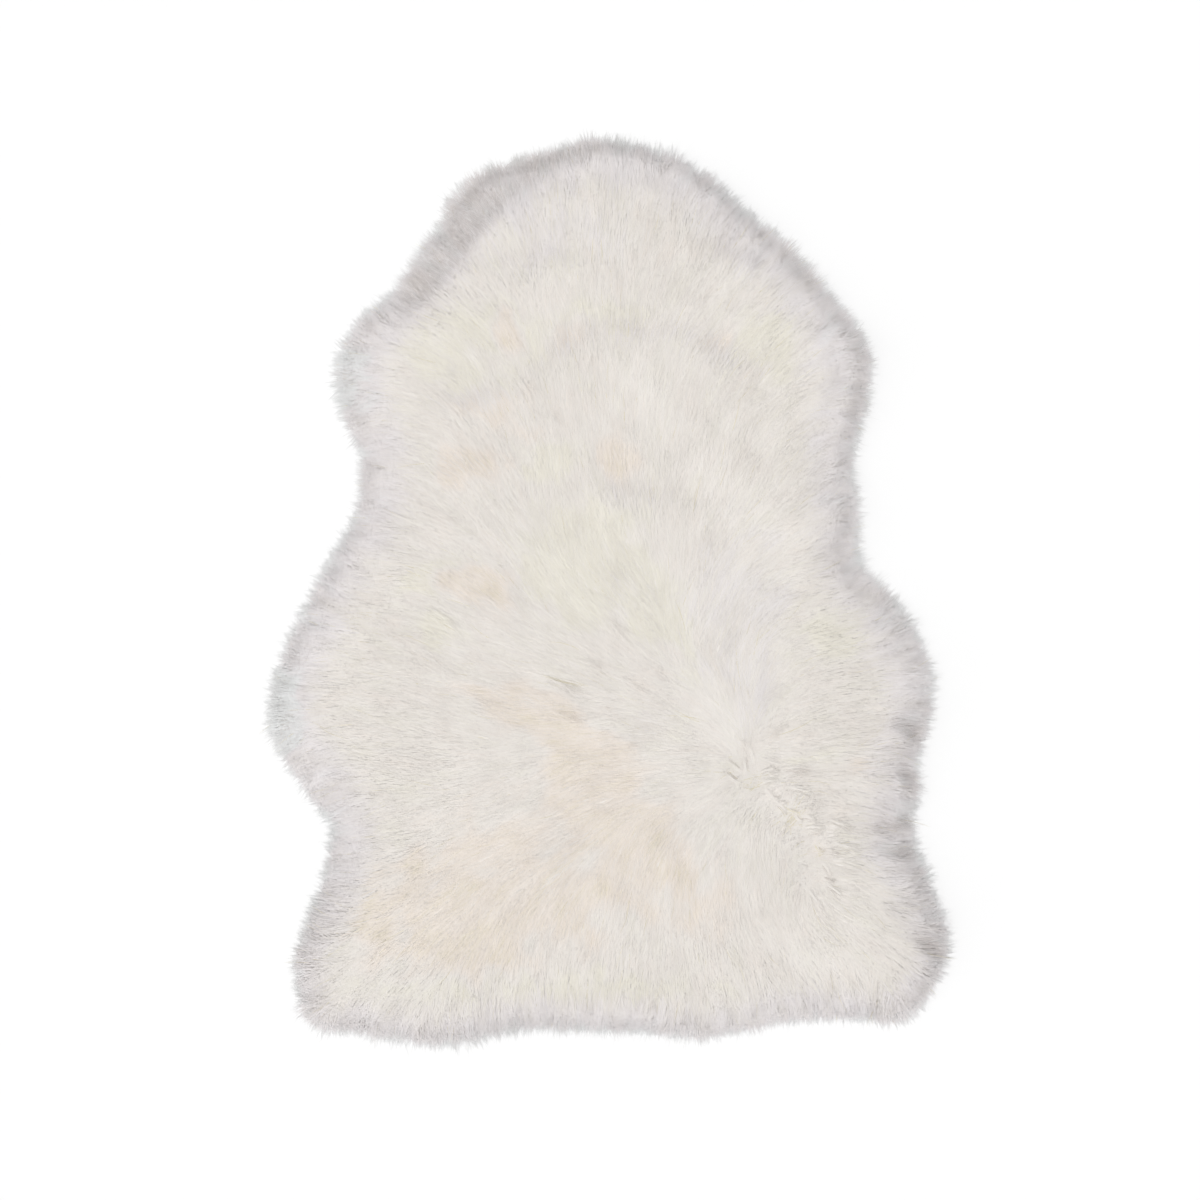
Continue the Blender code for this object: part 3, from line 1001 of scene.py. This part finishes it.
def ribbons(name, lines, shade, lightness, width, material, seed):
    """Thin tapering ribbons along centre lines, joined as one mesh."""
    rng = np.random.default_rng(seed)
    count, points = lines.shape[:2]
    tangent = np.gradient(lines, axis=1)
    tangent /= lengths(tangent) + 1e-12
    up = np.concatenate([-slope(lines[..., :2]), np.ones((count, points, 1))], axis=-1)
    across = np.cross(tangent, up)
    across /= lengths(across) + 1e-12
    over = np.cross(across, tangent)
    roll = np.radians(rng.normal(0, ROLL_DEG, count))[:, None, None]
    across = across * np.cos(roll) + over * np.sin(roll)
    steps = np.linspace(0, 1, points)[None, :]
    taper = (1 - 0.88 * steps**2.2) * (0.55 + 0.45 * smoothstep(steps, 0, 0.3))
    half = (width[:, None] * taper / 2)[..., None]
    vertices = np.stack([lines - across * half, lines + across * half], axis=2).reshape(-1, 3)
    own_normal = np.cross(across, tangent)
    own_normal *= np.sign(own_normal[..., 2:3]) / (lengths(own_normal) + 1e-12)
    normals = FLEECE_SHADING * fleece_normals(lines[..., :2]) + (1 - FLEECE_SHADING) * own_normal
    normals /= lengths(normals)
    normals = np.repeat(normals[:, :, None, :], 2, axis=2).reshape(-1, 3)
    first = (np.arange(count)[:, None] * points + np.arange(points - 1)[None, :]) * 2
    quads = np.stack([first, first + 1, first + 3, first + 2], axis=-1).reshape(-1, 4)
    u = shade[..., None] + np.array((-0.002, 0.002))
    v = np.repeat((lightness - ROOT_TINT * (1 - smoothstep(steps, 0, 0.4)))[..., None], 2, axis=2)
    uvs = np.stack([u, v], axis=-1).reshape(-1, 2)
    piece = mesh_object(name, vertices, quads, material, np.clip(uvs, 0.001, 0.999))
    piece.data.normals_split_custom_set_from_vertices(normals)
    return piece


# Faint patches of colour and light; the lilac grey and cyan grey ones, at the rim and on the neck's left
# lobe, are painted shade
Patch = namedtuple("Patch", "colour x_mm y_mm length_mm width_mm heading_deg")
PATCHES = [Patch(*row) for row in (
    ("peach", -100, 254, 24, 18, 60),
    ("peach", -34, 256, 30, 15, 20),
    ("peach", 106, 246, 18, 12, 0),
    ("peach", -108, 183, 34, 18, 0),
    ("peach", 5, 134, 28, 24, 0),
    ("peach", -112, 124, 30, 14, 0),
    ("peach", -158, 124, 14, 22, 0),
    ("peach", -76, 152, 20, 10, 0),
    ("peach", -128, 7, 42, 20, 10),
    ("peach", -60, -128, 92, 20, -24),
    ("peach", 20, -238, 122, 36, -45),
    ("peach", -118, -308, 156, 84, 8),
    ("peach", 252, -170, 14, 12, 0),
    ("cream", -128, 247, 72, 46, 0),
    ("cream", 160, 240, 36, 36, 0),
    ("cream", 0, 268, 44, 14, 0),
    ("cream", -60, 130, 60, 16, 0),
    ("cream", -270, -330, 40, 34, 0),
    ("cream", -18, 34, 66, 62, 60),
    ("cream", 60, -30, 44, 28, -40),
    ("cream", 232, -46, 30, 26, 0),
    ("cream", -150, 12, 84, 16, 0),
    ("cream", -198, -44, 54, 15, 10),
    ("cream", -60, -396, 190, 16, 0),
    ("cool", 125, -20, 110, 56, 90),
    ("cool", -40, 360, 80, 40, 0),
    ("lilac grey", -150, 372, 30, 30, 0),
    ("lilac grey", -110, 400, 30, 30, 0),
    ("lilac grey", 230, 250, 50, 30, 90),
    ("cyan grey", -262, 210, 34, 34, 0),
    ("cyan grey", -328, -125, 46, 30, 90),
    ("pale", 98, -130, 44, 30, 80),
    ("pale", 146, 66, 84, 30, 121),
    ("pale", 168, -235, 46, 32, -45),
    ("pale", 40, 205, 40, 22, 130),
    ("pale", 222, -373, 26, 22, 0),
    ("straw", -46, -97, 16, 5, -15),
    ("straw", -193, 26, 5, 5, 0),
    ("straw", -248, -29, 5, 5, 0),
    ("straw", 20, -51, 5, 12, 0),
    ("straw", 148, -187, 7, 7, 0),
    ("straw", 186, -226, 6, 6, 0),
    ("straw", 209, -256, 5, 5, 0),
)]
PATCH_WARP = 9 * MM  # how far noise pushes the patches' outlines about
PATCH_WARP_SIZE = 14 * MM
PATCH_NOISE_SIZE = 18 * MM  # of the noise that thins the patches in places


def patch_amount(name, places):
    """How much of one patch colour lies at each place, 0 to 1, with ragged outlines."""
    warp = np.stack([smooth_noise(PATCH_WARP_SIZE, seed)(places) for seed in (81, 82)], axis=-1)
    places = places + PATCH_WARP * warp
    amount = sum(oval_bump(patch, places) for patch in PATCHES if patch.colour == name)
    return smoothstep(amount * (1 + 0.7 * smooth_noise(PATCH_NOISE_SIZE, 83)(places)), 0.2, 0.75)


def towards(start, end, share):
    return start + (end - start) * share


RIM_SHADE_TINT_REACH = 74 * MM  # how far in from the rim the wool is tinted cool, as painted shade
RUMP_WARMTH = 30 * MM  # and how much less far at the rump
FOLD_SHADE_DEPTH = 4 * MM  # a fold this deep is painted cool and dark, as painted shade
STRAY_STRAW = 0.004  # the share of straw-coloured fibres outside their patches


def shades(lines, seed):
    """Each fibre's place on the colour map at each of its points: tinted cool at the rim and in the folds
    as painted shade, blotched inside.
    """
    rng = np.random.default_rng(seed)
    places = lines[..., :2]
    count = len(lines)
    spread = rng.normal(0, 0.035, count)[:, None] + 0.05 * hue_streaks(places)
    warm = towards(SHADE_PLACE["neutral"], SHADE_PLACE["cream"], patch_amount("cream", places))
    warm = towards(warm, SHADE_PLACE["peach"], patch_amount("peach", places))
    # painted shade: towards the rim, in the folds and in the lilac and cyan grey patches, fibres take cool
    # grey shades, cyan grey at the very tips
    at_rump = smoothstep(-places[..., 1], 0.28, 0.40)
    reach = RIM_SHADE_TINT_REACH - RUMP_WARMTH * at_rump
    cool = 1 - smoothstep(inset(places), 4 * MM, reach)
    cool = cool + 0.6 * patch_amount("lilac grey", places) + 0.3 * patch_amount("cool", places)
    cool = np.clip(cool + 0.6 * np.clip(folds(places) / FOLD_SHADE_DEPTH, 0, 1), 0, 1)
    cyan = patch_amount("cyan grey", places) + 1 - smoothstep(inset(places), -2 * MM, 8 * MM)
    chilly = towards(SHADE_PLACE["cool neutral"], SHADE_PLACE["lilac grey"], cool)
    chilly = towards(chilly, SHADE_PLACE["cyan grey"], np.clip(cyan, 0, 1))
    chosen = rng.uniform(0, 1, count) < smoothstep(cool[:, -2], 0.05, 0.4)
    shade = np.where(chosen[:, None], chilly, warm) + spread
    straw = rng.uniform(0, 1, count) < 0.4 * patch_amount("straw", places[:, -2]) + STRAY_STRAW
    return np.where(straw[:, None], SHADE_PLACE["straw"], shade)


def lightnesses(lines, seed):
    """Each fibre's lightness at each of its points: painted light and shade along streaks and across tufts,
    a little its own, and painted shade in the folds.
    """
    rng = np.random.default_rng(seed)
    places = lines[:, -2, :2]
    count = len(lines)
    fibre = 0.66 + 0.13 * patch_amount("pale", places) + rng.normal(0, 0.035, count)
    fibre += painted_streak_shade(places) * (0.08 + 0.05 * rimness(places)) + 0.06 * painted_tuft_shade(places)
    # painted shade: fibres in the folds are darkened down the colour map
    sunk = 0.45 * np.clip(folds(lines[..., :2]) / FOLD_SHADE_DEPTH, 0, 1.6)
    return fibre[:, None] - sunk * rng.uniform(0.2, 1.4, count)[:, None]


# painted light and shade: lightness drawn along the locks and across the tufts, standing in for the shading
# of their relief
painted_streak_shade = drawn_out(size=4.5 * MM, reach=9 * MM, seed=71)
hue_streaks = drawn_out(size=9 * MM, reach=9 * MM, seed=73)
painted_tuft_shade = drawn_out(size=16 * MM, reach=9 * MM, seed=72, across=True)


def fleece():
    """All the wool's pieces but the dense wool."""
    material = wool_material()
    rng = np.random.default_rng(200)
    pieces = []

    def add(names, lines, seed, widths_mm, darkness=0.0):
        """Makes ribbons on these lines, shared at random among pieces of these names."""
        shade = shades(lines, seed)
        lightness = lightnesses(lines, seed + 1) - np.reshape(darkness, (-1, 1))
        width = rng.uniform(*widths_mm, len(lines)) * MM
        order = rng.permutation(len(lines))
        for name, own in zip(names, np.array_split(order, len(names))):
            fibres = (lines[own], shade[own], lightness[own], width[own])
            pieces.append(ribbons(name, *fibres, material, seed + 2))

    locks = Locks(LOCK_SPACING, EDGE_INSET - 4 * MM, MIDDLE_INSET, seed=201)
    lines = combed_fibres(BACK_FIBRES, BACK_POINTS, locks, BACK_INSET, MIDDLE_INSET, seed=213)
    add(("back_wool_1", "back_wool_2", "back_wool_3"), lines, 223, widths_mm=(0.42, 0.80))
    lines = combed_fibres(EDGE_FIBRES, EDGE_POINTS, locks, EDGE_INSET, BACK_INSET, seed=212)
    add(("edge_wool_1", "edge_wool_2"), lines, 233, widths_mm=(0.40, 0.70))
    rim_locks = Locks(RIM_LOCK_SPACING, 4 * MM, 38 * MM, seed=300)
    lines = rim_fibres(RIM_FIBRES, EDGE_POINTS, rim_locks, seed=301)
    add(("rim_wool",), lines, 303, widths_mm=(0.30, 0.52))
    lines, darkness = hooked_fibres(seed=401)
    add(("hooked_locks",), lines, 403, widths_mm=(0.30, 0.50), darkness=darkness)
    lines = tangled_fibres(TANGLED_FIBRES, seed=411)
    add(("whorl_wool",), lines, 413, widths_mm=(0.40, 0.70))
    return pieces


# ---------------- stage

FLOOR_SIZE = 12
FLOOR_GAP = 0.2 * MM  # under the pelt
DIM_STRENGTH = 0.2  # of the light from all round


def floor():
    material, shader, *_ = principled("floor_paint", ROUGH, PAINT_GLOSS)
    shader.inputs["Base Color"].default_value = (*FLOOR_COLOUR, 1.0)
    bpy.ops.mesh.primitive_plane_add(size=FLOOR_SIZE, location=(0, 0, -FLOOR_GAP))
    plane = bpy.context.object
    plane.name = "floor"
    plane.data.materials.append(material)


def sun(name, direction, strength, angle_deg):
    light = bpy.data.lights.new(name, "SUN")
    light.energy = strength
    light.angle = math.radians(angle_deg)
    lamp = bpy.data.objects.new(name, light)
    lamp.rotation_euler = Vector(direction).to_track_quat("-Z", "Y").to_euler()
    bpy.context.scene.collection.objects.link(lamp)


def studio_world():
    """An even dim light from all round, with a white backdrop behind the floor's edge."""
    world = bpy.data.worlds.new("studio")
    world.use_nodes = True
    nodes = world.node_tree.nodes
    lit = nodes["Background"]
    lit.inputs["Strength"].default_value = DIM_STRENGTH
    lit.inputs["Color"].default_value = (*WHITE, 1.0)
    backdrop = new_node(nodes, "Background", Color=(*WHITE, 1.0))
    seen = new_node(nodes, "LightPath")
    both = new_node(nodes, "MixShader")
    link(seen, "Is Camera Ray", both, "Fac")
    link(lit, "Background", both, 1)
    link(backdrop, "Background", both, 2)
    link(both, "Shader", nodes["World Output"], "Surface")
    bpy.context.scene.world = world


def stage():
    floor()
    studio_world()
    sun("key", direction=(0.0, 0.06, -1.0), strength=2.88, angle_deg=20)
    sun("side", direction=(1.0, 0.25, -0.6), strength=0.68, angle_deg=40)
    camera = bpy.data.cameras.new("camera")
    camera.lens = LENS_MM
    holder = bpy.data.objects.new("camera", camera)
    distance = PICTURE_WIDTH / 2 / (camera.sensor_width / 2 / LENS_MM)
    holder.location = (*PICTURE_CENTRE, FLEECE_PLANE + distance)
    bpy.context.scene.collection.objects.link(holder)
    bpy.context.scene.camera = holder
    bpy.context.scene.view_settings.view_transform = "Standard"


skin, skin_size, skin_area = hide()
wool = [under_wool()] + fleece()
stage()
